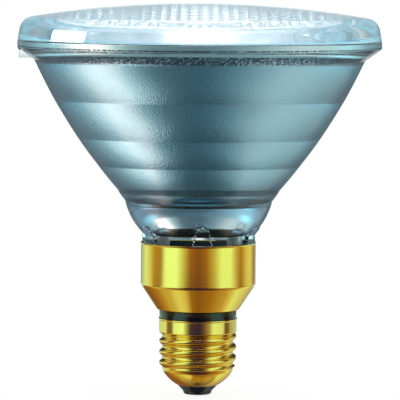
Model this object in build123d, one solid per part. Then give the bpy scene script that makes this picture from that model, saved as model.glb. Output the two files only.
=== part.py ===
from build123d import *
import os
from math import sqrt

# A pressed-glass reflector lamp with a skirted screw cap, standing cap down.
# Sizes are in millimetres. The lamp's axis is Z, and the foot of its contact is at the origin.

# Foot of the cap: solder drop, contact disc, insulating button
solder_drop = 0.4
solder_face_radius = 1.2
solder_round = 0.3
solder_radius = 1.8
solder_depth = 1.2
contact_radius = 4.8
contact_thickness = 1.0
contact_edge_round = 0.8
eyelet_radius = 1.6
eyelet_bore_radius = 1.0
eyelet_length = 2.0
button_height = 2.1
button_depth = 3.0

# Screw shell: foot cone, rolled thread, plain band, rolled lip
shell_wall = 0.3
shell_foot_radius = 6.8
shell_cone_step = 0.155
shell_cone_height = 4.8
shell_cone_bulge = 0.45
thread_start_height = 1.0
thread_height = 12.3
thread_major_radius = 13.05
thread_pitch = 3.629
thread_knuckle_share = 0.2825
thread_foot = 0.04
thread_land = 0.12
thread_root_depth = 0.5
thread_facets = 10
thread_turn = 85
runout_height = 1.1
band_step = 0.05
band_height = 4.6
shell_lip_height = 0.6
shell_lip_flare = 0.15

# Insulating ring between the shell and the skirt
ring_step = 0.1
ring_height = 2.95
ring_bore_clearance = 1.0
spigot_depth = 1.2
spigot_clearance = 0.05

# Skirt, drawn from brass sheet, and the cement that fills it
skirt_wall = 0.3
skirt_mouth_step = 0.4
skirt_foot_step = 0.8
skirt_radius = 19.35
skirt_cone_height = 8.4
skirt_height = 14.2
skirt_lip_height = 0.5
skirt_lip_flare = 0.2
skirt_foot_bend = 0.8
skirt_shoulder_bend = 1.8
cement_gap = 0.25
cement_recess = 0.2

# Glass neck, its floor, the hollow under it and the cup above it
neck_insert = 8.0
neck_height = 3.0
neck_wall = 4.3
floor_height = 3.6
floor_thickness = 7.0
floor_margin = 0.7
heel_spread = 4.8
heel_drop = 0.8
heel_bulge = 1.4
bowl_height = 10.9
bowl_radius = 24.75
bowl_bulge = 0.85

# Bands of the glass cone from the bowl up: share of the cone's spread at the top, and height
cone_bands = [(0.081, 3.6), (0.325, 9.3), (0.545, 9.4), (0.797, 12.7), (1.0, 12.5)]
cone_bulge = 0.12

# Rim flange, banded mirror and lens
rim_radius = 61.1
flare_width = 5.6
flare_height = 4.0
flange_width = 6.7
flange_height = 2.6
ledge_width = 2.56
mirror_bulge_share = 0.02
lens_step = 0.1
lens_draft = 1.2
lens_height = 12.45
lens_dome_height = 5.4
lens_edge_round = 5.0
lens_thickness = 3.8
lens_inner_round = 2.0

# Lugs that stand the neck over the skirt, and the nib under the rim
lug_count = 6
lug_first_angle = -86
lug_foot_width = 6.2
lug_top_width = 4.4
lug_height = 6.2
lug_stand = 1.2
lug_clearance = 0.1
lug_root_depth = 1.5
nib_width = 5.0
nib_angle = 180
nib_inset = 0.5
nib_clearance = 0.3

# Ferrules, posts, filament and exhaust stem
ferrule_offset = 8.5
ferrule_radius = 1.9
ferrule_wall = 0.4
ferrule_drop = 1.8
ferrule_flange = 1.1
seal_clearance = 0.02
post_radius = 0.6
post_bend = 2.0
coil_length = 12.0
coil_wire_radius = 0.16
coil_wire_sides = 6
coil_pitch = 1.5
coil_clearance = 0.05
coil_overlap = 1.5
stem_radius = 2.6
stem_bore_radius = 1.2
stem_length = 3.5
stem_tip_length = 3.5
stem_tip_radius = 1.4
stem_tip_round = 0.7
stem_shoulder_round = 1.5

# Lead wires inside the cap
lead_radius = 0.35
lead_bend = 2.5
lead_straight = 8.0
centre_lead_rise = 18.0
side_lead_drop = 3.4
side_lead_gap = 0.1
side_solder_radius = 1.3

# Heights up the axis, each stacked on the one below
contact_z = solder_drop
button_z = contact_z + contact_thickness
shell_z = button_z + button_height
shell_cone_z = shell_z + shell_cone_height
thread_z = shell_cone_z + thread_start_height
band_z = thread_z + thread_height
ring_z = band_z + band_height
skirt_z = ring_z + ring_height
shoulder_z = skirt_z + skirt_cone_height
skirt_top_z = shoulder_z + skirt_height
neck_z = skirt_top_z + neck_height
floor_z = skirt_top_z + floor_height
web_z = floor_z - floor_thickness
bowl_z = neck_z + bowl_height
flare_z = bowl_z + sum(height for _, height in cone_bands)
flange_z = flare_z + flare_height
seam_z = flange_z + flange_height
apex_z = seam_z + lens_height

# Sizes that follow from the ones above
thread_knuckle_radius = thread_pitch * thread_knuckle_share
thread_drop = thread_knuckle_radius - sqrt(thread_knuckle_radius ** 2 - (thread_pitch / 4) ** 2)
thread_minor_radius = thread_major_radius - 2 * thread_drop
shell_cone_radius = thread_minor_radius - shell_cone_step
shell_slope = (shell_cone_radius - shell_foot_radius) / shell_cone_height
band_radius = thread_major_radius + band_step
shell_bore_radius = band_radius - shell_wall
ring_radius = band_radius - ring_step
ring_bore_radius = ferrule_offset + ring_bore_clearance
skirt_mouth_radius = ring_radius - skirt_mouth_step
skirt_foot_radius = ring_radius + skirt_foot_step
neck_radius = skirt_radius - skirt_wall - cement_gap
neck_foot_z = skirt_top_z - neck_insert
hollow_radius = neck_radius - neck_wall
floor_radius = ferrule_offset + ferrule_radius + ferrule_flange + floor_margin
heel_radius = floor_radius + heel_spread
heel_z = bowl_z - heel_drop
ledge_radius = heel_radius + ledge_width
cone_radius = rim_radius - flare_width
mirror_rim_radius = rim_radius - flange_width
mirror_focal_length = (mirror_rim_radius ** 2 - ledge_radius ** 2) / (seam_z - heel_z) / 4
mirror_z = seam_z - mirror_rim_radius ** 2 / (4 * mirror_focal_length)
filament_z = mirror_z + mirror_focal_length
lens_radius = rim_radius - lens_step
lens_edge_radius = lens_radius - lens_draft
coil_radius = post_radius + coil_clearance + coil_wire_radius
ferrule_z = web_z - ferrule_drop
solder_z = contact_z + solder_depth
side_lead_z = ring_z - side_lead_drop

on_foot = (Align.CENTER, Align.CENTER, Align.MIN)


def turned(outline):
    """Revolve a closed outline, drawn as radius across and height up, about the lamp's axis."""
    return revolve(Plane.XZ * make_face(outline.edges()), Axis.Z)


def wire(radius, bend, *points):
    """A round wire through the points, bent to a radius at each corner."""
    path = FilletPolyline(*points, radius=bend)
    return sweep(Plane(path @ 0, z_dir=path % 0) * Circle(radius), path=path)


def contact_solder():
    """The drop of solder in the eyelet, flat where it meets the holder's tongue."""
    outline = FilletPolyline(
        (0, 0),
        (solder_face_radius, 0),
        (solder_radius, contact_z),
        (eyelet_bore_radius, contact_z),
        (eyelet_bore_radius, solder_z),
        (0, solder_z),
        radius=(0, solder_round, 0, 0, 0, 0),
        close=True,
    )
    return turned(outline)


def centre_contact():
    """The contact disc, with its eyelet up through the insulating button."""
    outline = FilletPolyline(
        (eyelet_bore_radius, contact_z),
        (contact_radius, contact_z),
        (contact_radius, button_z),
        (eyelet_radius, button_z),
        (eyelet_radius, button_z + eyelet_length),
        (eyelet_bore_radius, button_z + eyelet_length),
        radius=(0, contact_edge_round, 0, 0, 0, 0),
        close=True,
    )
    return turned(outline)


def base_insulator():
    """The black button that fills the shell's foot, with a hole for the eyelet."""
    foot = shell_foot_radius - shell_wall * sqrt(1 + shell_slope ** 2)
    outline = Polyline(
        (eyelet_radius, button_z),
        (contact_radius, button_z),
        (shell_foot_radius, shell_z),
        (foot, shell_z),
        (foot + shell_slope * button_depth, shell_z + button_depth),
        (eyelet_radius, shell_z + button_depth),
        close=True,
    )
    return turned(outline)


def thread_radius(turn, inset):
    """Radius of the rolled thread at a fraction of a turn past a crest: two tangent arcs."""
    along = abs((turn + 0.5) % 1 - 0.5) * thread_pitch
    crest = thread_knuckle_radius - inset
    root = thread_knuckle_radius + inset
    if along <= crest * thread_pitch / 4 / thread_knuckle_radius:
        return thread_major_radius - thread_knuckle_radius + sqrt(crest ** 2 - along ** 2)
    return thread_minor_radius + thread_knuckle_radius - sqrt(root ** 2 - (thread_pitch / 2 - along) ** 2)


def threaded_bar(inset):
    """A bar with the right-hand rolled thread: one ridge swept up its helix round a plain core."""
    core = thread_minor_radius + thread_land - inset
    root = thread_knuckle_radius + inset
    half_width = thread_pitch / 2 - sqrt(root ** 2 - (root - thread_foot) ** 2)
    heights = [half_width * (2 * step / thread_facets - 1) for step in range(thread_facets + 1)]
    ridge = [(thread_radius(height / thread_pitch, inset), height) for height in heights]
    ridge += [(core - thread_root_depth, half_width), (core - thread_root_depth, -half_width)]
    start = shell_cone_z - thread_pitch / 2
    rise = band_z + thread_pitch - start
    section = Plane.XZ * Pos(0, start) * make_face(Polyline(*ridge, close=True).edges())
    path = Helix(thread_pitch, rise, core, center=(0, 0, start))
    thread = Rot(Z=thread_turn) * sweep(section, path=path, is_frenet=True)
    return thread + Pos(0, 0, shell_z) * Cylinder(core, ring_z - shell_z, align=on_foot)


def shell_foot(inset):
    """The shell's foot cone and the chamfer that starts its thread, set in by a wall."""
    foot = shell_foot_radius - inset * sqrt(1 + shell_slope ** 2)
    reach = thread_knuckle_radius + thread_drop
    outline = SagittaArc((foot, shell_z), (shell_cone_radius - inset, shell_cone_z), -shell_cone_bulge)
    outline += Polyline(
        (shell_cone_radius - inset, shell_cone_z),
        (thread_minor_radius - inset, thread_z),
        (thread_minor_radius - inset + reach, thread_z + reach),
        (thread_minor_radius - inset + reach, ring_z),
        (0, ring_z),
        (0, shell_z),
        (foot, shell_z),
    )
    return turned(outline)


def shell_band(inset):
    """The plain band, and the cone that runs the thread out into it, set in by a wall."""
    core = thread_minor_radius - thread_drop - inset
    slope = (band_radius - thread_minor_radius) / runout_height
    outline = Polyline(
        (0, thread_z),
        (core, thread_z),
        (core, band_z - (band_radius - inset - core) / slope),
        (band_radius - inset, band_z),
        (band_radius - inset, ring_z),
        (0, ring_z),
        close=True,
    )
    return turned(outline)


def shell_form(inset):
    """The screw shell as a solid bar, set in by a wall."""
    return (threaded_bar(inset) & shell_foot(inset)) + shell_band(inset)


def screw_shell(hollow):
    """The rolled brass shell: the threaded form and its top lip, hollowed to a sheet."""
    lip = Polyline(
        (shell_bore_radius, ring_z - shell_lip_height),
        (band_radius, ring_z - shell_lip_height),
        (band_radius + shell_lip_flare, ring_z - shell_lip_height / 2),
        (band_radius + shell_lip_flare, ring_z),
        (shell_bore_radius, ring_z),
        close=True,
    )
    return shell_form(0) + turned(lip) - hollow


def insulating_ring():
    """The black ring, with a spigot into the shell below and one into the skirt above."""
    lower = shell_bore_radius - spigot_clearance
    upper = skirt_mouth_radius - spigot_clearance
    outline = Polyline(
        (ring_bore_radius, ring_z - spigot_depth),
        (lower, ring_z - spigot_depth),
        (lower, ring_z),
        (ring_radius, ring_z),
        (ring_radius, skirt_z),
        (upper, skirt_z),
        (upper, skirt_z + spigot_depth),
        (ring_bore_radius, skirt_z + spigot_depth),
        close=True,
    )
    return turned(outline)


def cap_skirt():
    """The drawn skirt: foot flange, cone, wall and flared lip in one sheet."""
    outside = FilletPolyline(
        (skirt_mouth_radius, skirt_z),
        (skirt_foot_radius, skirt_z),
        (skirt_radius, shoulder_z),
        (skirt_radius, skirt_top_z - skirt_lip_height),
        (skirt_radius + skirt_lip_flare, skirt_top_z),
        radius=(skirt_foot_bend, skirt_shoulder_bend, 0),
    )
    return turned(offset(outside.edges(), skirt_wall, side=Side.LEFT))


def basing_cement():
    """The cement that fills the gap between neck and skirt."""
    outline = Polyline(
        (neck_radius, neck_foot_z),
        (neck_radius + cement_gap, neck_foot_z),
        (neck_radius + cement_gap, skirt_top_z - cement_recess),
        (neck_radius, skirt_top_z - cement_recess),
        close=True,
    )
    return turned(outline)


def neck_lug():
    """One arched lug, a raised patch of the neck and bowl that stops just above the skirt."""
    foot_z = skirt_top_z + lug_clearance
    arch_z = foot_z + lug_height - lug_top_width / 2
    arch = ThreePointArc(
        (lug_top_width / 2, arch_z), (0, foot_z + lug_height), (-lug_top_width / 2, arch_z)
    )
    sides = Polyline(
        (-lug_top_width / 2, arch_z),
        (-lug_foot_width / 2, foot_z),
        (lug_foot_width / 2, foot_z),
        (lug_top_width / 2, arch_z),
    )
    tongue = extrude(Plane.YZ * make_face((arch + sides).edges()), bowl_radius + lug_stand)
    skin = SagittaArc((neck_radius + lug_stand, neck_z), (bowl_radius + lug_stand, bowl_z), -bowl_bulge)
    skin += Polyline(
        (bowl_radius + lug_stand, bowl_z),
        (bowl_radius - lug_root_depth, bowl_z),
        (neck_radius - lug_root_depth, neck_z),
        (neck_radius - lug_root_depth, foot_z),
        (neck_radius + lug_stand, foot_z),
        (neck_radius + lug_stand, neck_z),
    )
    return turned(skin) & tongue


def rim_nib():
    """The small glass gusset under the flange."""
    outer = rim_radius - nib_inset
    inner = cone_radius - nib_inset
    foot_z = flare_z + nib_clearance
    outline = Polyline(
        (inner, foot_z), (outer, foot_z), (outer, flange_z + nib_inset), (inner, flange_z), close=True
    )
    return extrude(Plane.XZ * make_face(outline.edges()), nib_width / 2, both=True)


def reflector():
    """The pressed bowl: neck, hollow foot and banded cone, with a mirror band inside each outer one."""
    outline = Polyline(
        (0, floor_z), (0, web_z), (hollow_radius, web_z), (hollow_radius, neck_foot_z),
        (neck_radius, neck_foot_z), (neck_radius, neck_z),
    )
    outline += SagittaArc((neck_radius, neck_z), (bowl_radius, bowl_z), -bowl_bulge)
    start = (bowl_radius, bowl_z)
    mirror_heights = [heel_z]
    for share, height in cone_bands:
        end = (bowl_radius + share * (cone_radius - bowl_radius), start[1] + height)
        outline += SagittaArc(start, end, -cone_bulge)
        mirror_heights.append(end[1])
        start = end
    outline += Polyline(start, (rim_radius, flange_z), (rim_radius, seam_z), (mirror_rim_radius, seam_z))

    start = (mirror_rim_radius, seam_z)
    for height in reversed(mirror_heights):
        end = (sqrt((height - mirror_z) * 4 * mirror_focal_length), height)
        bulge = mirror_bulge_share * sqrt((start[0] - end[0]) ** 2 + (start[1] - end[1]) ** 2)
        outline += SagittaArc(start, end, bulge)
        start = end
    outline += Line(start, (heel_radius, heel_z))
    outline += SagittaArc((heel_radius, heel_z), (floor_radius, floor_z), heel_bulge)
    outline += Line((floor_radius, floor_z), (0, floor_z))

    glass = turned(outline)
    for place in range(lug_count):
        glass += Rot(Z=lug_first_angle + 360 * place / lug_count) * neck_lug()
    glass += Rot(Z=nib_angle) * rim_nib()
    glass -= Pos(0, 0, web_z) * Cylinder(stem_bore_radius, floor_thickness, align=on_foot)
    for side in (-1, 1):
        hole = Cylinder(ferrule_radius + seal_clearance, floor_thickness, align=on_foot)
        glass -= Pos(side * ferrule_offset, 0, web_z) * hole
    return glass


def lens():
    """The front glass: a rim seated on the flange, and a shallow dome of even thickness."""
    corner = (lens_edge_radius, apex_z - lens_dome_height)
    dome_radius = (lens_edge_radius ** 2 + lens_dome_height ** 2) / (2 * lens_dome_height)
    inner_dome_radius = dome_radius - lens_thickness
    inner_apex_z = apex_z - lens_thickness
    inner_corner_z = inner_apex_z - inner_dome_radius + sqrt(inner_dome_radius ** 2 - mirror_rim_radius ** 2)
    inner_corner = (mirror_rim_radius, inner_corner_z)

    outline = Polyline(inner_corner, (mirror_rim_radius, seam_z), (lens_radius, seam_z), corner)
    outline += TangentArc((0, apex_z), corner, tangent=(1, 0))
    outline += Line((0, apex_z), (0, inner_apex_z))
    outline += TangentArc((0, inner_apex_z), inner_corner, tangent=(1, 0))
    face = make_face(outline.edges())
    for point, radius in ((corner, lens_edge_round), (inner_corner, lens_inner_round)):
        face = fillet(face.vertices().sort_by_distance(point)[0], radius)
    return revolve(Plane.XZ * face, Axis.Z)


def exhaust_tip():
    """The glass pump stem under the floor, drawn off to a closed tip."""
    tip_z = web_z - stem_length
    outline = FilletPolyline(
        (0, tip_z - stem_tip_length),
        (stem_tip_radius, tip_z - stem_tip_length),
        (stem_radius, tip_z),
        (stem_radius, web_z),
        (stem_bore_radius, web_z),
        (stem_bore_radius, tip_z),
        (0, tip_z),
        radius=(0, stem_tip_round, stem_shoulder_round, 0, 0, 0, 0),
        close=True,
    )
    return turned(outline)


def ferrule(side):
    """A metal cup sealed through the floor, with its flange on the glass."""
    bore = ferrule_radius - ferrule_wall
    flange = ferrule_radius + ferrule_flange
    outline = Polyline(
        (0, ferrule_z),
        (ferrule_radius, ferrule_z),
        (ferrule_radius, floor_z),
        (flange, floor_z),
        (flange, floor_z + ferrule_wall),
        (bore, floor_z + ferrule_wall),
        (bore, ferrule_z + ferrule_wall),
        (0, ferrule_z + ferrule_wall),
        close=True,
    )
    return Pos(side * ferrule_offset, 0, 0) * turned(outline)


def lead_post(side):
    """A stiff wire from the ferrule's cup up to the filament, its tip inside the coil's end."""
    foot = (side * ferrule_offset, 0, ferrule_z + ferrule_wall)
    knee = (side * ferrule_offset, 0, filament_z)
    tip = (side * (coil_length / 2 - coil_overlap), 0, filament_z)
    return wire(post_radius, post_bend, foot, knee, tip)


def filament():
    """The coil across the axis at the mirror's focus."""
    start = (-coil_length / 2, 0, filament_z)
    path = Helix(coil_pitch, coil_length, coil_radius, center=start, direction=(1, 0, 0))
    section = Plane(path @ 0, z_dir=path % 0) * RegularPolygon(coil_wire_radius, coil_wire_sides)
    return sweep(section, path=path, is_frenet=True)


def centre_lead():
    """The wire from the right ferrule down to the solder in the contact's eyelet."""
    start = (ferrule_offset, 0, ferrule_z)
    bend = (ferrule_offset, 0, ferrule_z - lead_straight)
    knee = (0, 0, solder_z + centre_lead_rise)
    return wire(lead_radius, lead_bend, start, bend, knee, (0, 0, solder_z))


def side_lead():
    """The wire from the left ferrule down and out to the shell's band."""
    start = (-ferrule_offset, 0, ferrule_z)
    bend = (-ferrule_offset, 0, side_lead_z)
    end = (side_lead_gap - shell_bore_radius, 0, side_lead_z)
    return wire(lead_radius, lead_bend, start, bend, end)


def side_solder(hollow):
    """The bead of solder that joins the side lead to the inside of the shell."""
    bead = Pos(-shell_bore_radius, 0, side_lead_z) * Sphere(side_solder_radius)
    return (bead & hollow) - side_lead()


shell_hollow = shell_form(shell_wall)

nodes = {
    "contact_solder": contact_solder(),
    "centre_contact": centre_contact(),
    "base_insulator": base_insulator(),
    "screw_shell": screw_shell(shell_hollow),
    "insulating_ring": insulating_ring(),
    "cap_skirt": cap_skirt(),
    "basing_cement": basing_cement(),
    "reflector": reflector(),
    "exhaust_tip": exhaust_tip(),
    "ferrule_left": ferrule(-1),
    "ferrule_right": ferrule(1),
    "lead_post_left": lead_post(-1),
    "lead_post_right": lead_post(1),
    "filament": filament(),
    "centre_lead": centre_lead(),
    "side_lead": side_lead(),
    "side_solder": side_solder(shell_hollow),
    "lens": lens(),
}

os.makedirs("parts", exist_ok=True)
for name, solid in nodes.items():
    export_step(solid, f"parts/{name}.step")
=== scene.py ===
from math import atan2, copysign, cos, hypot, pi, radians, sin, sqrt, tan, tau

import bmesh
import bpy
from mathutils import Euler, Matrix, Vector


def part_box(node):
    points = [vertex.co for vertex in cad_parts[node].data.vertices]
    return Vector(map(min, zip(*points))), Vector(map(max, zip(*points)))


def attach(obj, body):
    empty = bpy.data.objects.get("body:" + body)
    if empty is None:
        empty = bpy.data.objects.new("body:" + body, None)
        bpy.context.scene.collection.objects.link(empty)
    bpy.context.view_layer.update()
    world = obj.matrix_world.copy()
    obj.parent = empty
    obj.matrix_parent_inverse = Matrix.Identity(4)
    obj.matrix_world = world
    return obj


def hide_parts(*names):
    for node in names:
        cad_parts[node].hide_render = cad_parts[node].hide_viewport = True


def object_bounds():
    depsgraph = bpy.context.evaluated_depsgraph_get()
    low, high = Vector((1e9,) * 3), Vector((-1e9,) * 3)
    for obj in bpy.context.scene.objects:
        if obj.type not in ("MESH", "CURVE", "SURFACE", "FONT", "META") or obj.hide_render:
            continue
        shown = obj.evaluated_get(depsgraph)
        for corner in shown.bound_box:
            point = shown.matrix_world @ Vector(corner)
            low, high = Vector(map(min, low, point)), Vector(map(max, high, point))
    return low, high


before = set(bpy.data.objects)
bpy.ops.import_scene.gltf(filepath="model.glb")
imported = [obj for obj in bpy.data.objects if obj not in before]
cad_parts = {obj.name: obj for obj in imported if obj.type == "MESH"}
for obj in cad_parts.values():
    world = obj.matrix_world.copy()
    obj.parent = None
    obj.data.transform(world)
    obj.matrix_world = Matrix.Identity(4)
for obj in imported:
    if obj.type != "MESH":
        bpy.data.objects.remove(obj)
cad_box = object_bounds()

# Solder drop and centre contact
# The contact is a tinned brass disc, riveted through the foot of the cap by its own eyelet.
# A drop of solder closes the eyelet over the end of the centre lead. Both are painted dark grey: painted
# shade for the shadow under the cap.
# Their sizes, as all that follow, are in millimetres, which MM turns into metres.
MM = 0.001
TURN_STEPS = 192
EVEN_TURN = [tau * step / TURN_STEPS for step in range(TURN_STEPS)]
solder_radius = 1.8
solder_face_radius = 1.2
solder_face_round = 0.3
contact_edge_round = 0.8
eyelet_radius = 1.6
eyelet_bore_radius = 1.0
grain_detail = 3
grain_low = 0.3
grain_high = 0.7
dent_depth = 0.1


def turned_sizes(node):
    """A turned node's outer radius, foot height and top height, in millimetres."""
    low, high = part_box(node)
    return high.y / MM, low.z / MM, high.z / MM


def bowed(start, end, sag, steps):
    """Points after start, up to end, on an arc that stands off its chord by sag, to the right."""
    across = end[0] - start[0]
    up = end[1] - start[1]
    chord = hypot(across, up)
    half_turn = 2 * atan2(2 * sag, chord)
    radius = chord / 2 / sin(half_turn)
    points = []
    for step in range(1, steps + 1):
        turn = half_turn * (2 * step / steps - 1)
        along = 0.5 + radius * sin(turn) / chord
        stand = radius * (cos(turn) - cos(half_turn)) / chord
        points.append((start[0] + across * along + up * stand, start[1] + up * along - across * stand))
    return points


def eased(points, rounds, steps=6, guard=0.0):
    """A closed outline with each corner rounded to its own radius, 0 for a sharp one.

    A guard adds a point that far before and after each round, which keeps the straights flat.
    """
    outline = []
    for place, (corner, radius) in enumerate(zip(points, rounds)):
        if radius == 0:
            outline.append(corner)
            continue
        corner = Vector(corner)
        arrive = (corner - Vector(points[place - 1])).normalized()
        leave = (Vector(points[(place + 1) % len(points)]) - corner).normalized()
        turn = atan2(arrive.cross(leave), arrive.dot(leave))
        setback = radius * tan(abs(turn) / 2)
        start = corner - arrive * setback
        end = corner + leave * setback
        sag = copysign(radius * (1 - cos(turn / 2)), turn)
        bend = [tuple(start), *bowed(start, end, sag, steps)]
        if guard:
            bend = [tuple(start - arrive * guard), *bend, tuple(end + leave * guard)]
        outline += bend
    return outline


def turned(stretches, angles, swell, closed):
    """Vertices, faces and finish marks of stretches of (radius, height), carried round the axis."""
    vertices, rings, faces, marks = [], [], [], []
    finishes = list(dict.fromkeys(finish for finish, _ in stretches))
    outline = [(point, finishes.index(finish)) for finish, points in stretches for point in points]
    for (radius, height), _ in outline:
        ring = []
        for angle in angles if radius else angles[:1]:
            out, up = swell(angle, radius, height) if swell else (radius, height)
            ring.append(len(vertices))
            vertices.append((out * cos(angle) * MM, out * sin(angle) * MM, up * MM))
        rings.append(ring)
    for place in range(0 if closed else 1, len(outline)):
        lower, upper = rings[place - 1], rings[place]
        if len(lower) == len(upper) == 1:
            continue
        for column in range(len(angles)):
            after = (column + 1) % len(angles)
            corners = [(lower, column), (lower, after), (upper, after), (upper, column)]
            faces.append(list(dict.fromkeys(ring[turn % len(ring)] for ring, turn in corners)))
            marks.append(outline[place][1])
    return vertices, faces, finishes, marks


def meshed(name, vertices, faces, finishes, marks, sharp):
    """A smooth-shaded piece on the lamp's body, with a finish for each face.

    Edges that turn by more than the sharp angle, in degrees, stay crisp.
    """
    mesh = bpy.data.meshes.new(name)
    mesh.from_pydata(vertices, [], faces)
    for finish in finishes:
        mesh.materials.append(finish)
    mesh.polygons.foreach_set("material_index", marks)
    mesh.shade_smooth()
    mesh.set_sharp_from_angle(angle=radians(sharp))
    piece = bpy.data.objects.new(name, mesh)
    bpy.context.scene.collection.objects.link(piece)
    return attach(piece, "root")


def spun(name, stretches, angles=EVEN_TURN, swell=None, sharp=30):
    """A turned piece. Each stretch is a finish and its (radius, height) points, outside upward."""
    return meshed(name, *turned(stretches, angles, swell, True), sharp)


def coated(name, colour, metallic, roughness, **more):
    """A material with one shader, and its plain values on the shader's own sockets."""
    material = bpy.data.materials.new(name)
    material.use_nodes = True
    shader = material.node_tree.nodes["Principled BSDF"]
    shader.inputs["Base Color"].default_value = (*colour, 1)
    shader.inputs["Metallic"].default_value = metallic
    shader.inputs["Roughness"].default_value = roughness
    for socket, value in more.items():
        shader.inputs[socket.replace("_", " ").title().replace("Ior", "IOR")].default_value = value
    return material


def grained(material, scale, smooth, rough, stretch=(1, 1, 1), dent=0.0):
    """Varies a finish with fine noise: its roughness between two values, and any small dents."""
    nodes, links = material.node_tree.nodes, material.node_tree.links
    place = nodes.new("ShaderNodeTexCoord")
    pull = nodes.new("ShaderNodeMapping")
    pull.inputs["Scale"].default_value = stretch
    noise = nodes.new("ShaderNodeTexNoise")
    noise.inputs["Scale"].default_value = scale
    noise.inputs["Detail"].default_value = grain_detail
    shader = nodes["Principled BSDF"]
    links.new(place.outputs["Object"], pull.inputs["Vector"])
    links.new(pull.outputs["Vector"], noise.inputs["Vector"])
    if rough > smooth:
        spread = nodes.new("ShaderNodeMapRange")
        spread.inputs["From Min"].default_value = grain_low
        spread.inputs["From Max"].default_value = grain_high
        spread.inputs["To Min"].default_value = smooth
        spread.inputs["To Max"].default_value = rough
        links.new(noise.outputs["Fac"], spread.inputs["Value"])
        links.new(spread.outputs["Result"], shader.inputs["Roughness"])
    if dent:
        bump = nodes.new("ShaderNodeBump")
        bump.inputs["Strength"].default_value = dent
        bump.inputs["Distance"].default_value = dent_depth * MM
        links.new(noise.outputs["Fac"], bump.inputs["Height"])
        links.new(bump.outputs["Normal"], shader.inputs["Normal"])
    return material


# Painted shade: the solder and the tinned contact get dark greys that stand in for the shadow under the
# cap.
solder_painted_dark = grained(coated("solder_painted_dark", (0.20, 0.21, 0.22), 1, 0.4), 1500, 0.3, 0.5, dent=0.2)
tin_painted_dark = grained(coated("tin_painted_dark", (0.06, 0.08, 0.10), 1, 0.35), 900, 0.28, 0.42)

_, solder_z, solder_top_z = turned_sizes("contact_solder")
contact_radius, contact_z, eyelet_top_z = turned_sizes("centre_contact")
_, button_z, button_top_z = turned_sizes("base_insulator")
drop = eased(
    [(0, solder_z), (solder_face_radius, solder_z), (solder_radius, contact_z),
     (eyelet_bore_radius, contact_z), (eyelet_bore_radius, solder_top_z), (0, solder_top_z)],
    [0, solder_face_round, 0, 0, 0, 0],
)
solder = spun("contact_solder_drop", [(solder_painted_dark, drop)])
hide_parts("contact_solder")
disc = eased(
    [(eyelet_bore_radius, contact_z), (contact_radius, contact_z), (contact_radius, button_z),
     (eyelet_radius, button_z), (eyelet_radius, eyelet_top_z), (eyelet_bore_radius, eyelet_top_z)],
    [0, contact_edge_round, 0, 0, 0, 0],
)
contact = spun("centre_contact_disc", [(tin_painted_dark, disc)])
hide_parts("centre_contact")

# Base insulator
# A button of black glass, run hot into the foot of the shell round the contact's eyelet.
# It shows as a glossy black cone between the brass and the contact.
shell_wall = 0.3
shell_foot_radius = 6.8
shell_cone_radius = 11.8
shell_cone_height = 4.8
shell_cone_bulge = 0.45
button_edge_round = 0.5

black_glass = grained(coated("black_glass", (0.005, 0.007, 0.009), 0, 0), 700, 0, 0, dent=0.01)

_, shell_z, shell_top_z = turned_sizes("screw_shell")
shell_slope = (shell_cone_radius - shell_foot_radius) / shell_cone_height
button_radius = shell_foot_radius - shell_wall * sqrt(1 + shell_slope ** 2)
button_top_radius = button_radius + shell_slope * (button_top_z - shell_z)
cone = eased(
    [(eyelet_radius, button_z), (contact_radius, button_z), (shell_foot_radius, shell_z),
     (button_radius, shell_z), (button_top_radius, button_top_z), (eyelet_radius, button_top_z)],
    [0, button_edge_round, 0, 0, 0, 0],
)
button = spun("base_insulator_button", [(black_glass, cone)])
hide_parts("base_insulator")

# Screw shell
# The shell is thin brass sheet, drawn to a cup and rolled between dies that leave the round
# right-hand thread. Its top edge is rolled out to a lip, and its foot grips the black button.
thread_start_height = 1.0
thread_height = 12.3
thread_pitch = 3.629
thread_major_radius = 13.05
thread_knuckle_radius = 1.025
thread_crest_height = 2.0
runout_height = 1.1
band_radius = 13.1
shell_lip_height = 0.6
shell_lip_flare = 0.15
roll_round = 0.2
shell_rows = 190
shell_bore_rows = 70
brass_colour = (0.87, 0.61, 0.14)
brass_grain = 60
brass_line_stretch = (1, 1, 90)

shell_cone_z = shell_z + shell_cone_height
thread_z = shell_cone_z + thread_start_height
band_z = thread_z + thread_height
thread_drop = thread_knuckle_radius - sqrt(thread_knuckle_radius ** 2 - (thread_pitch / 4) ** 2)
thread_minor_radius = thread_major_radius - 2 * thread_drop
shell_cone_chord = hypot(shell_cone_radius - shell_foot_radius, shell_cone_height)
shell_cone_bow = (shell_cone_chord ** 2 / 4 + shell_cone_bulge ** 2) / (2 * shell_cone_bulge)
bow_setback = (shell_cone_bow - shell_cone_bulge) / shell_cone_chord
bow_centre_radius = (shell_foot_radius + shell_cone_radius) / 2 - bow_setback * shell_cone_height
bow_centre_z = (shell_z + shell_cone_z) / 2 + bow_setback * (shell_cone_radius - shell_foot_radius)


def soft_greater(one, other, round_off):
    """The greater of two radii, with the corner between them rounded off."""
    near = max(round_off - abs(one - other), 0) / round_off
    return max(one, other) + near ** 2 * round_off / 4


def soft_lesser(one, other, round_off):
    """The lesser of two radii, with the corner between them rounded off."""
    return -soft_greater(-one, -other, round_off)


def thread_radius(angle, height, depth):
    """Radius of the rolled thread, at a depth into the sheet: two tangent arcs along the pitch."""
    turn = (height - thread_crest_height) / thread_pitch - angle / tau
    along = abs((turn + 0.5) % 1 - 0.5) * thread_pitch
    crest = thread_knuckle_radius - depth
    root = thread_knuckle_radius + depth
    if along <= crest * thread_pitch / 4 / thread_knuckle_radius:
        return thread_major_radius - thread_knuckle_radius + sqrt(crest ** 2 - along ** 2)
    return thread_minor_radius + thread_knuckle_radius - sqrt(root ** 2 - (thread_pitch / 2 - along) ** 2)


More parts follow.
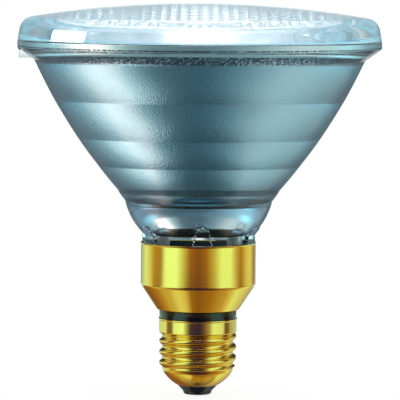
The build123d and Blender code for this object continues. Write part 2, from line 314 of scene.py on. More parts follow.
def rolled(angle, depth, height):
    """Place of the shell's sheet at a height: foot cone, thread, run-out and band, then the lip."""
    if height < shell_cone_z:
        foot = bow_centre_radius + sqrt(shell_cone_bow ** 2 - (height - bow_centre_z) ** 2)
        foot -= depth * sqrt(1 + shell_slope ** 2)
    elif height < thread_z:
        rise = (height - shell_cone_z) / thread_start_height
        foot = shell_cone_radius + rise * (thread_minor_radius - shell_cone_radius) - depth
    else:
        foot = thread_minor_radius + height - thread_z - depth
    runout = (band_z - height) * (band_radius - thread_minor_radius) / runout_height
    band = band_radius - max(runout, 0) - depth
    radius = soft_lesser(thread_radius(angle, height, depth), foot, roll_round)
    if height > thread_z:
        radius = soft_greater(radius, band, roll_round)
    if depth == 0:
        lip = min(max((height - shell_top_z + shell_lip_height) / shell_lip_height * 2, 0), 1)
        radius = min(radius, band_radius) + shell_lip_flare * sin(lip * pi / 2)
    return radius, height


def brass(name, smooth, rough):
    """Bright lacquered brass, with the fine lines that rolling and spinning leave round it."""
    finish = coated(name, brass_colour, 1, smooth)
    return grained(finish, brass_grain, smooth, rough, stretch=brass_line_stretch)


shell_brass = brass("shell_brass", 0.04, 0.07)
shell_height = shell_top_z - shell_z
outside = [(band_radius, shell_z + shell_height * row / shell_rows) for row in range(shell_rows + 1)]
inside = [
    (band_radius - shell_wall, shell_top_z - shell_height * row / shell_bore_rows)
    for row in range(shell_bore_rows + 1)
]
shell = spun(
    "screw_shell_brass", [(shell_brass, outside + inside)],
    swell=lambda angle, radius, height: rolled(angle, band_radius - radius, height),
)
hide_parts("screw_shell")

# Insulating ring
# A ring of black moulded plastic keeps the shell and the skirt apart. A spigot on each side
# of it goes into the brass, and the brass is rolled over them out of sight.
ring_radius, ring_foot_z, ring_head_z = turned_sizes("insulating_ring")
spigot_depth = 1.2
spigot_clearance = 0.05
ring_bore_radius = 9.5
ring_edge_round = 0.25
skirt_mouth_radius = 12.6

black_moulding = grained(coated("black_moulding", (0.004, 0.006, 0.007), 0, 0.08), 700, 0.06, 0.10)

ring_z = ring_foot_z + spigot_depth
skirt_z = ring_head_z - spigot_depth
lower_spigot = band_radius - shell_wall - spigot_clearance
upper_spigot = skirt_mouth_radius - spigot_clearance
ring_outline = eased(
    [(ring_bore_radius, ring_foot_z), (lower_spigot, ring_foot_z), (lower_spigot, ring_z),
     (ring_radius, ring_z), (ring_radius, skirt_z), (upper_spigot, skirt_z),
     (upper_spigot, ring_head_z), (ring_bore_radius, ring_head_z)],
    [0, 0, 0, ring_edge_round, ring_edge_round, 0, 0, 0],
)
ring = spun("insulating_ring_moulding", [(black_moulding, ring_outline)])
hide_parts("insulating_ring")

# Cap skirt
# The skirt is drawn from brass sheet: a flat foot with a hole for the ring, a cone, a straight
# wall and a small flared lip, which is crimped and cemented round the neck of the glass.
_, _, skirt_top_z = turned_sizes("cap_skirt")
skirt_wall = 0.3
skirt_foot_radius = 13.8
skirt_radius = 19.35
skirt_cone_height = 8.4
skirt_lip_height = 0.5
skirt_lip_flare = 0.2
skirt_bends = [0, 0.8, 1.8, 0.6, 0.1]
skirt_bore_bends = [0.1, 0.5, 1.5, 0.5, 0]
bend_guard = 0.05


def lined(points, wall):
    """The inner side of a sheet, a wall's thickness to the left of its outer line."""
    line = []
    runs = [(Vector(end) - Vector(start)).normalized() for start, end in zip(points, points[1:])]
    for point, arrive, leave in zip(points, runs[:1] + runs, runs + runs[-1:]):
        square = Vector((-arrive.y - leave.y, arrive.x + leave.x)).normalized()
        line.append(tuple(Vector(point) + square * wall / square.dot(Vector((-arrive.y, arrive.x)))))
    return line


skirt_brass = brass("skirt_brass", 0.06, 0.10)
shoulder_z = skirt_z + skirt_cone_height
skirt_line = [
    (skirt_mouth_radius, skirt_z), (skirt_foot_radius, skirt_z), (skirt_radius, shoulder_z),
    (skirt_radius, skirt_top_z - skirt_lip_height), (skirt_radius + skirt_lip_flare, skirt_top_z),
]
bore_line = lined(skirt_line, skirt_wall)
bore_line[-1] = (bore_line[-1][0], skirt_top_z)
skirt_outline = eased(skirt_line + bore_line[::-1], skirt_bends + skirt_bore_bends, guard=bend_guard)
skirt = spun("cap_skirt_brass", [(skirt_brass, skirt_outline)])
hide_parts("cap_skirt")

# Basing cement
# A collar of baked cement between the neck and the skirt holds the cap on the glass.
# It ends a little under the skirt's lip, and only its top edge could be seen.
baked_cement = grained(coated("baked_cement", (0.02, 0.024, 0.026), 0, 0.9), 1200, 0.8, 1.0, dent=0.5)


def dressed(node, finish):
    """Gives a solid of the frame a finish of this scene."""
    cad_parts[node].data.materials.clear()
    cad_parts[node].data.materials.append(finish)


dressed("basing_cement", baked_cement)

# Reflector
# One pressing of clear glass: a hollow neck with six lugs over the skirt, a floor, a cup, a cone in
# five bands and a flange for the lens. Aluminium is evaporated on the whole of its inside, and it is
# painted dark, with pale spots, at the seam's edge and behind the flare: painted shade for shadow lines.
rim_radius, neck_foot_z, seam_z = turned_sizes("reflector")
cement_gap = 0.25
neck_height = 3.0
hollow_radius = 14.5
floor_height = 3.6
floor_thickness = 7.0
floor_radius = 12.2
heel_radius = 17.0
heel_drop = 0.8
heel_bulge = 1.4
bowl_height = 10.9
bowl_radius = 24.75
bowl_bulge = 0.85
cone_radius = 55.5
cone_bands = [(0.081, 3.6), (0.325, 9.3), (0.545, 9.4), (0.797, 12.7), (1.0, 12.5)]
cone_bulge = 0.12
flare_height = 4.0
flange_round = 0.5
ledge_width = 2.56
mirror_rim_radius = 54.4
mirror_bulge_share = 0.035
painted_shade_rise = 0.3
painted_shade_edge = 0.7
lug_count = 6
lug_first_angle = radians(-86)
lug_foot_width = 6.2
lug_top_width = 4.4
lug_height = 6.2
lug_stand = 1.2
lug_clearance = 0.1
lug_edge = 0.25
nib_width = 5.0
nib_inset = 0.5
nib_clearance = 0.3
reflector_columns = 450
reflector_sharp = 9
nib_columns = (0.9, 0.915, 1.0, 1.02)
flare_rows = (1.0, 2.0, 3.0)
lug_steps = 12
bowl_steps = 40
band_steps = 8
mirror_steps = 14
row_gap = 0.01
glass_ior = 1.47
bare_polish = 0.12
speckle_start = 0.45
speckle_end = 0.62
speckle_detail = 4

neck_radius = skirt_radius - skirt_wall - cement_gap
neck_z = skirt_top_z + neck_height
floor_z = skirt_top_z + floor_height
web_z = floor_z - floor_thickness
bowl_z = neck_z + bowl_height
heel_z = bowl_z - heel_drop
flare_z = bowl_z + sum(height for _, height in cone_bands)
flange_z = flare_z + flare_height
ledge_radius = heel_radius + ledge_width
mirror_focal_length = (mirror_rim_radius ** 2 - ledge_radius ** 2) / (seam_z - heel_z) / 4
mirror_z = seam_z - mirror_rim_radius ** 2 / (4 * mirror_focal_length)
lug_z = skirt_top_z + lug_clearance
lug_arch_z = lug_z + lug_height - lug_top_width / 2


def lug_half_width(height):
    """Half the lug's width at a height: straight sides that draw in, then a round arch."""
    if height < lug_arch_z:
        rise = (height - lug_z) / (lug_arch_z - lug_z)
        return (lug_foot_width + rise * (lug_top_width - lug_foot_width)) / 2
    return sqrt(max((lug_top_width / 2) ** 2 - (height - lug_arch_z) ** 2, 0))


def pressed(angle, radius, height):
    """The glass with its lugs and its nib raised on the turned form."""
    if lug_z <= height <= lug_z + lug_height and radius > hollow_radius + lug_stand:
        step = tau / lug_count
        off = (angle - lug_first_angle + step / 2) % step - step / 2
        inside = (lug_half_width(height) - abs(radius * sin(off))) / lug_edge
        lift = min(max(inside + 0.5, 0), 1)
        return radius + lug_stand * lift * lift * (3 - 2 * lift), height
    if flare_z + nib_clearance <= height <= flange_z and cos(angle) < 0:
        if abs(radius * sin(angle)) < nib_width / 2 and radius > cone_radius:
            return max(radius, rim_radius - nib_inset), height
    return radius, height


def creased(piece, heights):
    """Keeps the rings of a turned piece at the given heights as crisp edges."""
    points = piece.data.vertices
    for edge in piece.data.edges:
        low, high = (points[corner].co.z / MM for corner in edge.vertices)
        if abs(low - high) < row_gap and min(abs(low - height) for height in heights) < row_gap:
            edge.use_edge_sharp = True


def clear_glass(name, tint):
    """Clear pressed glass."""
    return coated(name, tint, 0, 0, ior=glass_ior, transmission_weight=1)


def aluminised(name, glass_side, bare_side, satin, grain_size, grain, speckle=None, metallic=1.0):
    """Evaporated aluminium: bright on its bare side, and satin where it is seen through the glass.

    The grain's size is in millimetres. A speckle is the colour of pale spots in a film painted dark.
    """
    material = coated(name, bare_side, metallic, bare_polish)
    nodes, links = material.node_tree.nodes, material.node_tree.links
    side = nodes.new("ShaderNodeNewGeometry")
    colour = nodes.new("ShaderNodeMix")
    colour.data_type = "RGBA"
    colour.inputs["A"].default_value = (*bare_side, 1)
    colour.inputs["B"].default_value = (*glass_side, 1)
    polish = nodes.new("ShaderNodeMapRange")
    polish.inputs["To Min"].default_value = bare_polish
    polish.inputs["To Max"].default_value = satin
    place = nodes.new("ShaderNodeTexCoord")
    noise = nodes.new("ShaderNodeTexNoise")
    noise.inputs["Scale"].default_value = 1 / (grain_size * MM)
    bump = nodes.new("ShaderNodeBump")
    bump.inputs["Distance"].default_value = dent_depth * MM
    dents = nodes.new("ShaderNodeMapRange")
    dents.inputs["To Max"].default_value = grain
    shader = nodes["Principled BSDF"]
    links.new(side.outputs["Backfacing"], dents.inputs["Value"])
    links.new(dents.outputs["Result"], bump.inputs["Strength"])
    links.new(side.outputs["Backfacing"], colour.inputs["Factor"])
    links.new(side.outputs["Backfacing"], polish.inputs["Value"])
    links.new(colour.outputs["Result"], shader.inputs["Base Color"])
    links.new(polish.outputs["Result"], shader.inputs["Roughness"])
    links.new(place.outputs["Object"], noise.inputs["Vector"])
    links.new(noise.outputs["Fac"], bump.inputs["Height"])
    links.new(bump.outputs["Normal"], shader.inputs["Normal"])
    if speckle:
        spots = nodes.new("ShaderNodeValToRGB")
        dark, pale = spots.color_ramp.elements
        dark.position = speckle_start
        dark.color = (*glass_side, 1)
        pale.position = speckle_end
        pale.color = (*speckle, 1)
        noise.inputs["Detail"].default_value = speckle_detail
        links.new(noise.outputs["Fac"], spots.inputs["Fac"])
        links.new(spots.outputs["Color"], colour.inputs["B"])
    return material


bowl_glass = clear_glass("bowl_glass", (0.94, 0.98, 0.99))
seal_mirror = aluminised(
    "seal_mirror", (0.68, 0.98, 1.00), (0.78, 0.89, 0.93),
    satin=0.12, grain_size=0.9, grain=0.5, metallic=0.6,
)
# Painted shade: a dark film with pale spots stands in for the shadow lines at the seam and behind the
# flare.
painted_shade_mirror = aluminised(
    "painted_shade_mirror", (0.03, 0.08, 0.10), (0.78, 0.89, 0.93),
    satin=0.2, grain_size=0.7, grain=0.9, speckle=(0.50, 0.66, 0.72),
)
satin_mirror = aluminised(
    "satin_mirror", (0.27, 0.52, 0.62), (0.87, 0.89, 0.90), satin=0.15, grain_size=0.5, grain=0.7,
)
cup_mirror = aluminised(
    "cup_mirror", (0.46, 0.66, 0.74), (0.87, 0.89, 0.90), satin=0.17, grain_size=1.6, grain=0.12,
)

nib_half_turn = nib_width / 2 / cone_radius
bowl_turn = [tau * step / reflector_columns for step in range(reflector_columns)]
bowl_turn += [pi + side * nib_half_turn * share for side in (-1, 1) for share in nib_columns]
bowl_turn.sort()

foot_line = [
    (0, web_z), (hollow_radius, web_z), (hollow_radius, neck_foot_z), (neck_radius, neck_foot_z),
    (neck_radius, lug_z - row_gap),
]
neck_line = [(neck_radius, lug_z + (neck_z - lug_z) * step / lug_steps) for step in range(lug_steps + 1)]
bowl_line = bowed((neck_radius, neck_z), (bowl_radius, bowl_z), bowl_bulge, bowl_steps)
cone_line = []
mirror_heights = [heel_z]
start = (bowl_radius, bowl_z)
for share, height in cone_bands:
    end = (bowl_radius + share * (cone_radius - bowl_radius), start[1] + height)
    cone_line += bowed(start, end, cone_bulge, band_steps)
    mirror_heights.append(end[1])
    start = end
flare_slope = (rim_radius - start[0]) / flare_height
flare_line = []
for height in (nib_clearance - row_gap, nib_clearance, *flare_rows, flare_height - row_gap):
    flare_line.append((start[0] + flare_slope * height, flare_z + height))
rim_line = eased(
    [flare_line[-1], (rim_radius, flange_z), (rim_radius, seam_z), (mirror_rim_radius, seam_z)],
    [0, flange_round, flange_round, 0],
)
inner_line = []
start = (mirror_rim_radius, seam_z)
for height in reversed(mirror_heights):
    end = (sqrt((height - mirror_z) * 4 * mirror_focal_length), height)
    bulge = mirror_bulge_share * hypot(start[0] - end[0], start[1] - end[1])
    inner_line += bowed(start, end, -bulge, mirror_steps)
    start = end
heel = (heel_radius, heel_z)
cup_line = [heel, *bowed(heel, (floor_radius, floor_z), -heel_bulge, mirror_steps), (0, floor_z)]


def mirror_between(low, high):
    """The stretch of the mirror's line above one height and up to another."""
    return [point for point in inner_line if low < point[1] <= high]


reflector = spun(
    "reflector_glass",
    [(bowl_glass, foot_line + neck_line + bowl_line + cone_line + flare_line + rim_line[1:]),
     (painted_shade_mirror, mirror_between(seam_z - painted_shade_edge, seam_z)),
     (seal_mirror, mirror_between(flange_z + painted_shade_rise, seam_z - painted_shade_edge)),
     (painted_shade_mirror, mirror_between(flare_z, flange_z + painted_shade_rise)),
     (satin_mirror, mirror_between(floor_z, flare_z)),
     (cup_mirror, cup_line)],
    angles=bowl_turn, swell=pressed, sharp=reflector_sharp,
)
creased(reflector, mirror_heights)
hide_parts("reflector")

# Exhaust stem, ferrules, posts and filament
# Two metal cups are sealed through the glass floor, and stiff posts brazed in them carry the
# tungsten coil at the mirror's focus. The pump stem under the floor is drawn off and closed.
stem_glass = clear_glass("stem_glass", (0.95, 0.98, 0.98))
ferrule_metal = grained(coated("ferrule_metal", (0.52, 0.50, 0.47), 1, 0.35), 900, 0.28, 0.42)
post_wire = grained(coated("post_wire", (0.55, 0.55, 0.56), 1, 0.3), 1200, 0.22, 0.38)
tungsten = grained(coated("tungsten", (0.25, 0.25, 0.26), 1, 0.45), 2000, 0.4, 0.55)
dressed("exhaust_tip", stem_glass)
for side in ("left", "right"):
    dressed("ferrule_" + side, ferrule_metal)
    dressed("lead_post_" + side, post_wire)
dressed("filament", tungsten)

# Leads inside the cap
# One copper lead runs from a ferrule to the solder in the contact's eyelet. The other bends
# out to the shell's band, where a bead of solder joins it to the brass.
lead_copper = grained(coated("lead_copper", (0.72, 0.36, 0.22), 1, 0.35), 1500, 0.28, 0.42)
bead_solder = grained(coated("bead_solder", (0.45, 0.46, 0.47), 1, 0.35), 1500, 0.25, 0.45, dent=0.2)
dressed("centre_lead", lead_copper)
dressed("side_lead", lead_copper)
dressed("side_solder", bead_solder)

# Lens
# The front is a second pressing of clear glass. Its outside is a smooth dome, and its inside is
# pressed into square pillows that spread the beam. A flame seals it to the flange. The face at the
# seam is painted an opaque pale blue: painted light for the bluish light seen in the rim's ends.
lens_radius, _, apex_z = turned_sizes("lens")
lens_edge_radius = 59.8
lens_dome_height = 5.4
lens_edge_round = 5.0
lens_inner_round = 0.7
lens_thickness = 3.8
lens_foot_round = 0.2
seam_height = 0.15
seal_gap = 0.03
pillow_pitch = 3.08
pillow_depth = 0.6
pillow_steps = 6
field_radius = 53.2
field_border = 0.3
field_snap = 0.05
dome_steps = 30
lens_round_steps = 10
lens_sharp = 25
weld_reach = 0.001

lens_z = seam_z + seal_gap
corner_z = apex_z - lens_dome_height
border_radius = field_radius + field_border
dome_radius = (lens_edge_radius ** 2 + lens_dome_height ** 2) / (2 * lens_dome_height)
lens_glass = clear_glass("lens_glass", (0.92, 0.975, 1.0))
# Painted light: the opaque pale blue on the seam face brightens the rim's ends through the glass.
seam_painted_light = grained(coated("seam_painted_light", (0.50, 0.88, 1.00), 0, 0.6), 900, 0.5, 0.7)


def dome_height(radius, depth):
    """Height of the dome at a radius, at a depth into the glass."""
    return apex_z - dome_radius + sqrt((dome_radius - depth) ** 2 - radius ** 2)


def pillow_height(across, back):
    """Height of the pressed inside of the lens: each pillow stands down from its borders."""
    swell = 0
    for place in (across, back):
        swell += (2 * (place / pillow_pitch % 1) - 1) ** 2
    return dome_height(hypot(across, back), lens_thickness) - pillow_depth * (1 - swell / 2)


grid_step = pillow_pitch / pillow_steps
grid_reach = int(field_radius / grid_step) + 1
grid = range(-grid_reach, grid_reach + 1)
field_faces = []
for column in grid[:-1]:
    for row in grid[:-1]:
        corners = [(column, row), (column, row + 1), (column + 1, row + 1), (column + 1, row)]
        if min(hypot(*corner) for corner in corners) * grid_step < field_radius - field_snap:
            field_faces.append(corners)
field_points = {}
edge_turn = []
for corner in dict.fromkeys(corner for corners in field_faces for corner in corners):
    across, back = corner[0] * grid_step, corner[1] * grid_step
    reach = hypot(across, back)
    if reach >= field_radius - field_snap:
        across *= field_radius / reach
        back *= field_radius / reach
        edge_turn.append(atan2(back, across))
    field_points[corner] = (across, back, pillow_height(across, back))
edge_turn.sort()


def lens_edge(angle, radius, height):
    """The lens's turned form, which meets the pillows at the edge of their field."""
    if radius == field_radius:
        return radius, pillow_height(radius * cos(angle), radius * sin(angle))
    return radius, height


dome_line = []
for step in range(dome_steps + 1):
    radius = (lens_edge_radius - lens_edge_round) * (1 - step / dome_steps)
    dome_line.append((radius, dome_height(radius, 0)))
lens_line = eased(
    [(field_radius, seam_z), (border_radius, dome_height(border_radius, lens_thickness)),
     (mirror_rim_radius, dome_height(mirror_rim_radius, lens_thickness)),
     (mirror_rim_radius, lens_z + seam_height), (mirror_rim_radius, lens_z), (lens_radius, lens_z),
     (lens_edge_radius, corner_z), dome_line[0]],
    [0, 0, lens_inner_round, 0, 0, lens_foot_round, lens_edge_round, 0], steps=lens_round_steps,
) + dome_line[1:]
seam_place = lens_line.index((mirror_rim_radius, lens_z))
lens_stretches = [
    (lens_glass, lens_line[:seam_place]), (seam_painted_light, lens_line[seam_place:seam_place + 2]),
    (lens_glass, lens_line[seam_place + 2:]),
]
lens_points, lens_faces, lens_finishes, lens_marks = turned(lens_stretches, edge_turn, lens_edge, False)
vertex_of = {corner: len(lens_points) + index for index, corner in enumerate(field_points)}
lens_points += [tuple(size * MM for size in point) for point in field_points.values()]
lens_faces += [[vertex_of[corner] for corner in corners] for corners in field_faces]
lens_marks += [lens_finishes.index(lens_glass)] * len(field_faces)
lens = meshed("lens_glass_front", lens_points, lens_faces, lens_finishes, lens_marks, lens_sharp)
welded = bmesh.new()
welded.from_mesh(lens.data)
bmesh.ops.remove_doubles(welded, verts=welded.verts, dist=weld_reach * MM)
welded.to_mesh(lens.data)
welded.free()
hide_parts("lens")

# Studio floor
# A white table top, lit to the tone of the backdrop, that keeps a soft shadow under the cap.
# Metal and glass don't show it: they show the panels of the room instead.
floor_reach = 15000.0
floor_sides = 96
floor_drop = 0.2
floor_glow = 0.9
floor_white = 0.12

bpy.ops.mesh.primitive_circle_add(vertices=floor_sides, radius=floor_reach * MM, fill_type="NGON")
floor = bpy.context.object
floor.name = "studio_floor"
floor.location.z = cad_box[0][2] - floor_drop * MM
white_table = bpy.data.materials.new("white_table")
white_table.use_nodes = True
table_nodes, table_links = white_table.node_tree.nodes, white_table.node_tree.links
table_shader = table_nodes["Principled BSDF"]
table_shader.inputs["Base Color"].default_value = (floor_white, floor_white, floor_white, 1)
table_shader.inputs["Roughness"].default_value = 1
table_shader.inputs["Specular IOR Level"].default_value = 0
table_shader.inputs["Emission Color"].default_value = (1, 1, 1, 1)
table_path = table_nodes.new("ShaderNodeLightPath")
table_glow = table_nodes.new("ShaderNodeMath")
table_glow.operation = "MULTIPLY"
table_glow.inputs[1].default_value = floor_glow
table_links.new(table_path.outputs["Is Camera Ray"], table_glow.inputs[0])
table_links.new(table_glow.outputs["Value"], table_shader.inputs["Emission Strength"])
floor.data.materials.append(white_table)
floor.visible_glossy = False
floor.visible_transmission = False

# Studio surround
# A white room with soft panels to the left and the right of the lamp and a dim side in front of it.
# Bare metal shows one set of panels, and what is seen through glass shows the other. Angles are
# from the front, right positive, and heights are those of the direction that is looked in.
brass_below = [(-180, (0.42, 0.30, 0.08)), (180, (0.42, 0.30, 0.08))]
brass_foot_ring = [
    (-180, (0.10, 0.07, 0.09)), (-110, (0.60, 0.55, 0.26)), (-76, (0.84, 0.98, 0.55)),
    (-57, (0.77, 0.78, 0.40)), (-32, (0.36, 0.20, 0.04)), (0, (0.26, 0.14, 0.04)),
    (57, (0.40, 0.22, 0.04)), (94, (0.58, 0.45, 0.16)), (120, (0.50, 0.42, 0.20)),
    (180, (0.10, 0.07, 0.09)),
]
brass_floor_ring = [
    (-180, (0.20, 0.12, 0.10)), (-143, (0.30, 0.14, 0.04)), (-120, (0.50, 0.33, 0.10)),
    (-107, (0.63, 0.57, 0.20)), (-86, (0.64, 0.55, 0.22)), (-60, (0.42, 0.26, 0.06)),
    (-30, (0.10, 0.05, 0.06)), (0, (0.03, 0.02, 0.12)), (30, (0.10, 0.05, 0.06)),
    (60, (0.38, 0.22, 0.05)), (94, (0.58, 0.45, 0.16)), (107, (0.74, 0.71, 0.34)),
    (120, (0.85, 1.20, 0.80)), (143, (0.72, 0.77, 0.45)), (164, (0.41, 0.36, 0.30)),
    (180, (0.20, 0.12, 0.10)),
]
brass_shell_ring = [
    (-180, (0.50, 0.70, 0.60)), (-144, (0.70, 1.00, 0.75)), (-110, (0.88, 1.12, 0.90)),
    (-102, (0.22, 0.20, 0.14)), (-84, (0.20, 0.22, 0.20)), (-76, (0.90, 1.35, 1.15)),
    (-46, (1.00, 1.60, 1.45)), (-34, (0.46, 0.54, 0.40)), (-24, (0.03, 0.03, 0.17)),
    (8, (0.02, 0.02, 0.17)), (20, (0.14, 0.10, 0.12)), (34, (0.40, 0.38, 0.22)),
    (48, (0.88, 1.35, 1.15)), (80, (0.80, 1.15, 1.05)), (90, (0.18, 0.12, 0.07)),
    (102, (0.18, 0.14, 0.12)), (112, (0.50, 0.54, 0.48)), (144, (0.58, 0.80, 0.72)),
    (180, (0.50, 0.70, 0.60)),
]
brass_skirt_ring = [
    (-180, (0.40, 0.48, 0.45)), (-160, (0.36, 0.46, 0.40)), (-128, (0.85, 1.25, 0.90)),
    (-112, (0.70, 0.84, 0.40)), (-98, (0.54, 0.38, 0.10)), (-79, (0.44, 0.34, 0.10)),
    (-68, (0.95, 1.60, 1.30)), (-44, (0.95, 1.62, 1.30)), (-32, (0.78, 1.02, 0.55)),
    (-16, (0.42, 0.21, 0.03)), (0, (0.28, 0.14, 0.04)), (16, (0.42, 0.21, 0.03)),
    (32, (0.66, 0.68, 0.26)), (48, (0.90, 1.42, 1.05)), (68, (0.92, 1.48, 1.10)),
    (80, (0.64, 0.62, 0.30)), (96, (0.48, 0.29, 0.06)), (112, (0.74, 0.80, 0.38)),
    (128, (0.83, 0.97, 0.50)), (144, (0.40, 0.30, 0.20)), (180, (0.40, 0.48, 0.45)),
]
brass_sky_ring = [
    (-180, (0.05, 0.04, 0.08)), (-150, (0.08, 0.06, 0.05)), (-128, (0.50, 0.50, 0.26)),
    (-110, (0.70, 0.80, 0.50)), (-96, (0.16, 0.10, 0.06)), (-84, (0.16, 0.10, 0.06)),
    (-70, (0.90, 1.40, 1.20)), (-44, (0.92, 1.45, 1.25)), (-26, (0.06, 0.04, 0.12)),
    (12, (0.02, 0.02, 0.14)), (26, (0.20, 0.14, 0.10)), (46, (0.84, 1.25, 1.05)),
    (76, (0.80, 1.15, 0.95)), (90, (0.16, 0.10, 0.06)), (102, (0.16, 0.10, 0.06)),
    (116, (0.56, 0.58, 0.36)), (150, (0.08, 0.06, 0.05)), (180, (0.05, 0.04, 0.08)),
]
glass_foot_ring = [(-180, (0.10, 0.13, 0.16)), (180, (0.10, 0.13, 0.16))]
glass_floor_ring = [
    (-180, (1.10, 1.18, 1.20)), (-173, (1.10, 1.18, 1.20)), (-168, (0.14, 0.16, 0.17)),
    (-152, (0.28, 0.32, 0.34)), (-124, (0.52, 0.54, 0.54)),
    (-110, (1.00, 0.98, 0.95)), (-98, (2.90, 2.05, 1.80)), (-76, (3.10, 2.15, 1.90)),
    (-66, (1.15, 1.05, 0.95)), (-56, (0.55, 0.62, 0.62)), (-40, (0.22, 0.25, 0.25)),
    (-16, (0.15, 0.19, 0.21)), (4, (0.12, 0.17, 0.20)), (20, (0.20, 0.27, 0.30)),
    (44, (0.46, 0.51, 0.52)), (78, (1.12, 1.00, 0.93)), (98, (1.00, 0.95, 0.89)),
    (134, (0.72, 0.73, 0.69)), (150, (0.28, 0.31, 0.32)), (168, (0.14, 0.16, 0.17)),
    (173, (1.10, 1.18, 1.20)), (180, (1.10, 1.18, 1.20)),
]
glass_level_ring = [
    (-180, (0.90, 0.98, 1.00)), (-178, (0.90, 0.98, 1.00)), (-175, (0.10, 0.15, 0.18)),
    (-150, (0.26, 0.36, 0.40)), (-120, (0.60, 1.15, 1.35)), (-100, (0.70, 1.10, 1.25)),
    (-84, (0.16, 0.24, 0.28)), (-50, (0.12, 0.18, 0.22)), (0, (0.16, 0.23, 0.27)),
    (40, (0.28, 0.39, 0.44)), (84, (0.56, 0.76, 0.84)), (110, (1.20, 2.00, 2.20)),
    (150, (0.26, 0.36, 0.40)), (175, (0.10, 0.15, 0.18)), (178, (0.90, 0.98, 1.00)),
    (180, (0.90, 0.98, 1.00)),
]
glass_wall_ring = [
    (-180, (0.40, 0.48, 0.52)), (-172, (0.38, 0.47, 0.52)), (-150, (0.30, 0.44, 0.52)),
    (-120, (0.14, 0.22, 0.27)), (-90, (0.12, 0.19, 0.23)), (-40, (0.10, 0.15, 0.18)),
    (-12, (0.10, 0.15, 0.18)), (12, (0.10, 0.15, 0.18)), (40, (0.26, 0.36, 0.42)),
    (90, (0.60, 0.84, 0.95)), (120, (0.60, 0.90, 1.05)), (150, (0.42, 0.56, 0.63)),
    (172, (0.38, 0.47, 0.52)), (180, (0.40, 0.48, 0.52)),
]
glass_sky_ring = [
    (-180, (0.46, 0.58, 0.66)), (-120, (0.80, 1.00, 1.10)), (-90, (2.20, 2.30, 2.36)),
    (-66, (3.00, 3.00, 3.00)), (-44, (2.30, 2.32, 2.34)), (-30, (0.90, 1.00, 1.06)),
    (-20, (4.20, 4.20, 4.20)), (20, (4.20, 4.20, 4.20)), (30, (0.90, 1.00, 1.06)),
    (44, (0.50, 0.60, 0.66)), (66, (2.00, 2.02, 2.04)), (90, (1.60, 1.66, 1.70)),
    (120, (0.80, 1.00, 1.10)), (180, (0.46, 0.58, 0.66)),
]
glass_top_ring = [
    (-180, (3.50, 3.00, 2.90)), (-174, (2.70, 2.45, 2.40)), (-160, (0.80, 0.95, 1.02)),
    (-60, (1.70, 1.78, 1.82)), (-26, (1.40, 1.50, 1.55)), (-14, (4.20, 4.20, 4.20)),
    (14, (4.20, 4.20, 4.20)), (26, (1.10, 1.22, 1.28)), (60, (0.85, 0.96, 1.02)),
    (160, (0.80, 0.95, 1.02)), (174, (2.70, 2.45, 2.40)), (180, (3.50, 3.00, 2.90)),
]

scene = bpy.context.scene
scene.view_settings.view_transform = "Standard"
scene.cycles.max_bounces = 24
scene.cycles.glossy_bounces = 16
scene.cycles.transmission_bounces = 16
room = bpy.data.worlds.new("studio_room")
scene.world = room
room.use_nodes = True
room_nodes, room_links = room.node_tree.nodes, room.node_tree.links
room_place = room_nodes.new("ShaderNodeTexCoord")
room_axes = room_nodes.new("ShaderNodeSeparateXYZ")
from_front = room_nodes.new("ShaderNodeMath")
from_front.operation = "MULTIPLY"
from_front.inputs[1].default_value = -1
compass = room_nodes.new("ShaderNodeCombineXYZ")
bearing = room_nodes.new("ShaderNodeTexGradient")
bearing.gradient_type = "RADIAL"
room_links.new(room_place.outputs["Generated"], room_axes.inputs["Vector"])
room_links.new(room_axes.outputs["Y"], from_front.inputs[0])
room_links.new(from_front.outputs["Value"], compass.inputs["X"])
room_links.new(room_axes.outputs["X"], compass.inputs["Y"])
room_links.new(compass.outputs["Vector"], bearing.inputs["Vector"])


def room_ring(stops):
    """The colours round the room at one level."""
    ring = room_nodes.new("ShaderNodeValToRGB")
    marks = ring.color_ramp.elements
    for angle, _ in stops[1:-1]:
        marks.new(0.5 + angle / 360)
    for mark, (_, colour) in zip(marks, stops):
        mark.color = (*colour, 1)
    room_links.new(bearing.outputs["Fac"], ring.inputs["Fac"])
    return ring.outputs["Color"]


def room_blend(share, low, high):
    """One colour of the room over to another, by a share."""
    mix = room_nodes.new("ShaderNodeMix")
    mix.data_type = "RGBA"
    mix.inputs["A"].default_value = (1, 1, 1, 1)
    room_links.new(share, mix.inputs["Factor"])
    if low:
        room_links.new(low, mix.inputs["A"])
    room_links.new(high, mix.inputs["B"])
    return mix.outputs["Result"]


def room_walls(levels):
    """A set of panels from the floor up: each ring, and the heights between which it takes over."""
    shown = room_ring(levels[0][0])
    for stops, (start, end) in levels[1:]:
        rise = room_nodes.new("ShaderNodeMapRange")
        rise.interpolation_type = "SMOOTHSTEP"
        rise.inputs["From Min"].default_value = start
        rise.inputs["From Max"].default_value = end
        room_links.new(room_axes.outputs["Z"], rise.inputs["Value"])
        shown = room_blend(rise.outputs["Result"], shown, room_ring(stops))
    return shown


in_metal = room_walls([
    (brass_below, None), (brass_foot_ring, (-0.985, -0.97)),
    (brass_floor_ring, (-0.86, -0.80)), (brass_shell_ring, (-0.30, -0.20)),
    (brass_skirt_ring, (-0.107, -0.100)), (brass_sky_ring, (0.04, 0.12)),
])
in_glass = room_walls([
    (glass_foot_ring, None), (glass_floor_ring, (-0.94, -0.86)),
    (glass_level_ring, (-0.20, -0.10)), (glass_wall_ring, (0.04, 0.12)),
    (glass_sky_ring, (0.34, 0.40)), (glass_top_ring, (0.46, 0.56)),
])
room_path = room_nodes.new("ShaderNodeLightPath")


def either_ray(one, other):
    """Whether a ray is of one kind or of another."""
    either = room_nodes.new("ShaderNodeMath")
    either.operation = "MAXIMUM"
    room_links.new(room_path.outputs[one], either.inputs[0])
    room_links.new(room_path.outputs[other], either.inputs[1])
    return either.outputs["Value"]


surround = room_blend(either_ray("Is Transmission Ray", "Is Singular Ray"), in_metal, in_glass)
surround = room_blend(either_ray("Is Glossy Ray", "Is Transmission Ray"), None, surround)
room_links.new(surround, room_nodes["Background"].inputs["Color"])

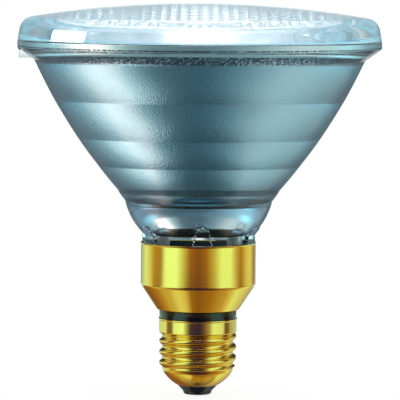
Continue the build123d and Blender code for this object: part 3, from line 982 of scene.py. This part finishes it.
# Left softbox
# A bright panel on the left, a little above the rim, that shows as a white block on the glass.
# Only mirror-like reflections meet it, so it lights nothing, and the brass doesn't show it.
softbox_distance = 800.0
softbox_width = 420.0
softbox_depth = 210.0
softbox_bearing = radians(-90)
softbox_height = radians(10.5)
softbox_glow = 18.0

bpy.ops.mesh.primitive_plane_add(size=1)
softbox = bpy.context.object
softbox.name = "left_softbox"
softbox.scale = (softbox_width * MM, softbox_depth * MM, 1)
level = cos(softbox_height)
toward = Vector((sin(softbox_bearing) * level, -cos(softbox_bearing) * level, sin(softbox_height)))
softbox.location = (Vector((0, 0, seam_z)) + toward * softbox_distance) * MM
softbox.rotation_euler = toward.to_track_quat("Z", "Y").to_euler()
panel = bpy.data.materials.new("softbox_panel")
panel.use_nodes = True
panel_nodes, panel_links = panel.node_tree.nodes, panel.node_tree.links
panel_path = panel_nodes.new("ShaderNodeLightPath")
panel_glow = panel_nodes.new("ShaderNodeEmission")
panel_glow.inputs["Strength"].default_value = softbox_glow
panel_open = panel_nodes.new("ShaderNodeBsdfTransparent")
panel_mix = panel_nodes.new("ShaderNodeMixShader")
panel_links.new(panel_path.outputs["Is Singular Ray"], panel_mix.inputs["Fac"])
panel_links.new(panel_open.outputs["BSDF"], panel_mix.inputs[1])
panel_links.new(panel_glow.outputs["Emission"], panel_mix.inputs[2])
panel_links.new(panel_mix.outputs["Shader"], panel_nodes["Material Output"].inputs["Surface"])
softbox.data.materials.append(panel)
softbox.visible_camera = False
softbox.visible_diffuse = False
softbox.visible_transmission = False
softbox.visible_shadow = False

# Camera
# A long lens a little above the rim, looking down on the lamp from straight in front of it.
# It leans over by a very small roll, and sees nothing of the room but white.
camera_distance = 1130.0
camera_height = 150.0
aim_height = 66.0
aim_right = 0.45
camera_roll = radians(0.4)
image_width = 36.0
focal_length = 303.0
camera_reach = 40000.0

eye = Vector((aim_right, -camera_distance, camera_height)) * MM
aim = Vector((aim_right, 0, aim_height)) * MM
camera = bpy.data.objects.new("camera", bpy.data.cameras.new("camera"))
scene.collection.objects.link(camera)
camera.location = eye
turn = (aim - eye).to_track_quat("-Z", "Y")
camera.rotation_euler = (turn @ Euler((0, 0, camera_roll)).to_quaternion()).to_euler()
camera.data.sensor_width = image_width
camera.data.lens = focal_length
camera.data.clip_end = camera_reach * MM
scene.camera = camera
